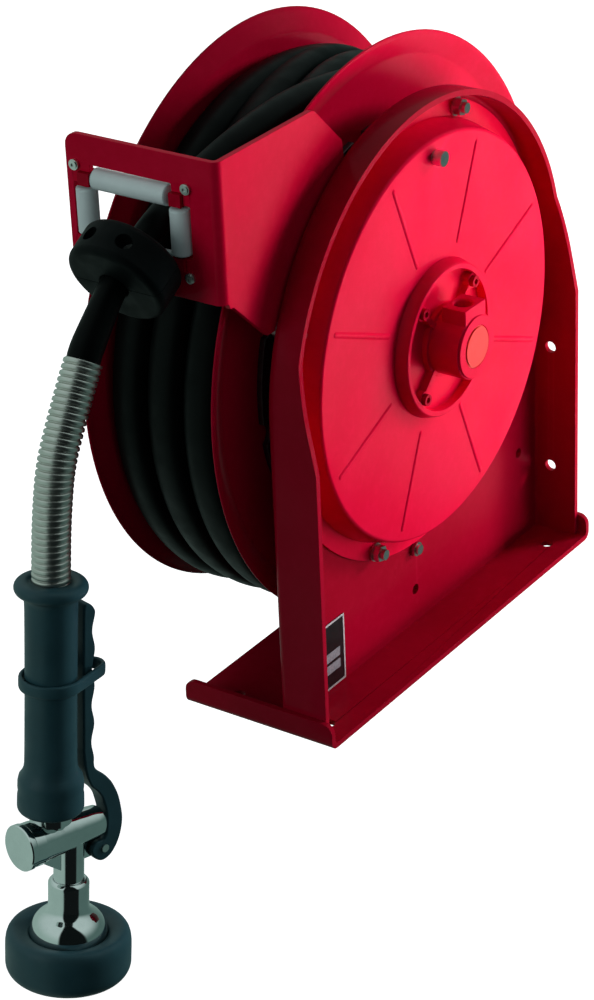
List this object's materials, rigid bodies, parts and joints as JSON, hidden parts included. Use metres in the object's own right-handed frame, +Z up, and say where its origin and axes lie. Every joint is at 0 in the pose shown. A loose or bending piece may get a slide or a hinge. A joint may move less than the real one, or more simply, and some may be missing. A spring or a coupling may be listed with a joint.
{
  "type": "spring rewind hose reel",
  "caption": "Open spring-rewind hose reel on a single side frame, with a roller hose guide, a bump stop, an armoured hose end and a squeeze spray valve.",
  "frame": {"origin": "centre of the base tray's underside", "axes": "+X along the drum axis towards the spring case, -Y towards the hose guide, +Z up from the base tray"},
  "size_m": [0.1499, 0.478, 0.4369],
  "materials": {
    "red_paint": "glossy red powder coat",
    "zinc": "zinc plated steel",
    "dark_steel": "oiled dark steel",
    "brass": "machined brass",
    "orange_plastic": "orange-red moulded plug",
    "label_black": "black printed plate",
    "hose_rubber": "black hose cover, slight sheen",
    "stop_rubber": "charcoal moulded rubber",
    "seal_rubber": "black nitrile seal",
    "roller_plastic": "off-white moulded plastic",
    "armour_steel": "satin stainless steel",
    "chrome": "polished chrome plate",
    "grip_rubber": "dark slate moulded rubber",
    "face_plastic": "dark moulded spray face"
  },
  "bodies": {
    "root": {"base_tray": "red_paint", "side_frame": "red_paint", "guide_bracket": "red_paint", "roller_brackets": "red_paint", "roller_pins": "zinc", "guide_screws": "zinc", "spring_case": "red_paint", "case_bolts": "zinc", "spring_anchor_pin": "zinc", "power_spring": "dark_steel", "hub_casting": "red_paint", "hub_screws": "red_paint", "swivel_plug": "orange_plastic", "frame_bushing": "brass", "hub_bushing": "brass", "label_plate": "label_black", "pawl_pin": "zinc", "pawl_spring": "zinc", "hose_tail": "hose_rubber", "hose_stop_upper": "stop_rubber", "hose_stop_lower": "stop_rubber", "stop_screws": "zinc"},
    "drum": {"main_shaft": "zinc", "shaft_nut": "zinc", "shaft_seals": "seal_rubber", "shaft_spacer": "zinc", "spring_arbor": "dark_steel", "drum_flange_near": "red_paint", "drum_flange_far": "red_paint", "drum_core": "red_paint", "drum_tie_bolts": "zinc", "ratchet_ring": "dark_steel", "outlet_elbow": "brass", "wound_hose": "hose_rubber"},
    "pawl": {"latch_pawl": "dark_steel"},
    "roller_t": {"roller_top": "roller_plastic"},
    "roller_b": {"roller_bottom": "roller_plastic"},
    "roller_l": {"roller_left": "roller_plastic"},
    "roller_r": {"roller_right": "roller_plastic"},
    "hose_end": {"free_hose": "hose_rubber", "armoured_hose": "armour_steel"},
    "wand": {"hose_ferrule": "chrome", "handle_tube": "armour_steel", "grip": "grip_rubber", "valve_body": "chrome", "valve_cap": "chrome", "valve_spring": "zinc", "spray_bell": "chrome", "spray_face": "face_plastic", "bumper": "grip_rubber", "lever_pin": "zinc"},
    "lever": {"lever": "grip_rubber"},
    "plunger": {"plunger": "chrome"},
    "hold_ring": {"hold_ring": "grip_rubber"}
  },
  "joints": [
    {"name": "drum_spin", "type": "hinge", "parent": "root", "child": "drum", "pos_m": [-0.044, 0, 0.186], "axis": [1, 0, 0], "continuous": true},
    {"name": "pawl_rock", "type": "hinge", "parent": "root", "child": "pawl", "pos_m": [-0.0038, -0.0029, 0.0511], "axis": [1, 0, 0], "range_deg": [-15, 8.8], "stiffness_Nm_per_rad": 0.2},
    {"name": "roller_top_spin", "type": "hinge", "parent": "root", "child": "roller_t", "pos_m": [-0.0416, -0.1655, 0.31865], "axis": [1, 0, 0], "continuous": true},
    {"name": "roller_bottom_spin", "type": "hinge", "parent": "root", "child": "roller_b", "pos_m": [-0.0416, -0.1655, 0.28245], "axis": [1, 0, 0], "continuous": true},
    {"name": "roller_left_spin", "type": "hinge", "parent": "root", "child": "roller_l", "pos_m": [-0.071, -0.1655, 0.30075], "axis": [0, 0, 1], "continuous": true},
    {"name": "roller_right_spin", "type": "hinge", "parent": "root", "child": "roller_r", "pos_m": [-0.0122, -0.1655, 0.30075], "axis": [0, 0, 1], "continuous": true},
    {"name": "hose_swing", "type": "hinge", "parent": "root", "child": "hose_end", "pos_m": [-0.031, -0.2056, 0.27573], "axis": [1, 0, 0], "range_deg": [-35, 10], "stiffness_Nm_per_rad": 30, "springref_deg": -0.97},
    {"name": "wand_swing", "type": "hinge", "parent": "hose_end", "child": "wand", "pos_m": [-0.031, -0.26337, 0.16037], "axis": [0, 1, 0], "range_deg": [-25, 25], "stiffness_Nm_per_rad": 5, "springref_deg": -0.08},
    {"name": "lever_squeeze", "type": "hinge", "parent": "wand", "child": "lever", "pos_m": [-0.02326, -0.25462, -0.01813], "axis": [0.9703, -0.24, 0.0303], "range_deg": [-1.2, 1.4], "stiffness_Nm_per_rad": 3, "springref_deg": -1.15},
    {"name": "plunger_slide", "type": "slide", "parent": "wand", "child": "plunger", "axis": [-0.2419, -0.9626, 0.1216], "range_m": [-0.00033, 0.00038]},
    {"name": "hold_ring_slide", "type": "slide", "parent": "wand", "child": "hold_ring", "axis": [0, 0.1253, 0.9921], "range_m": [-0.04, 0.035], "stiffness_N_per_m": 200}
  ],
  "couplings": [
    {"joint": "plunger_slide", "follows": "lever_squeeze", "m_per_rad": 0.015}
  ]
}
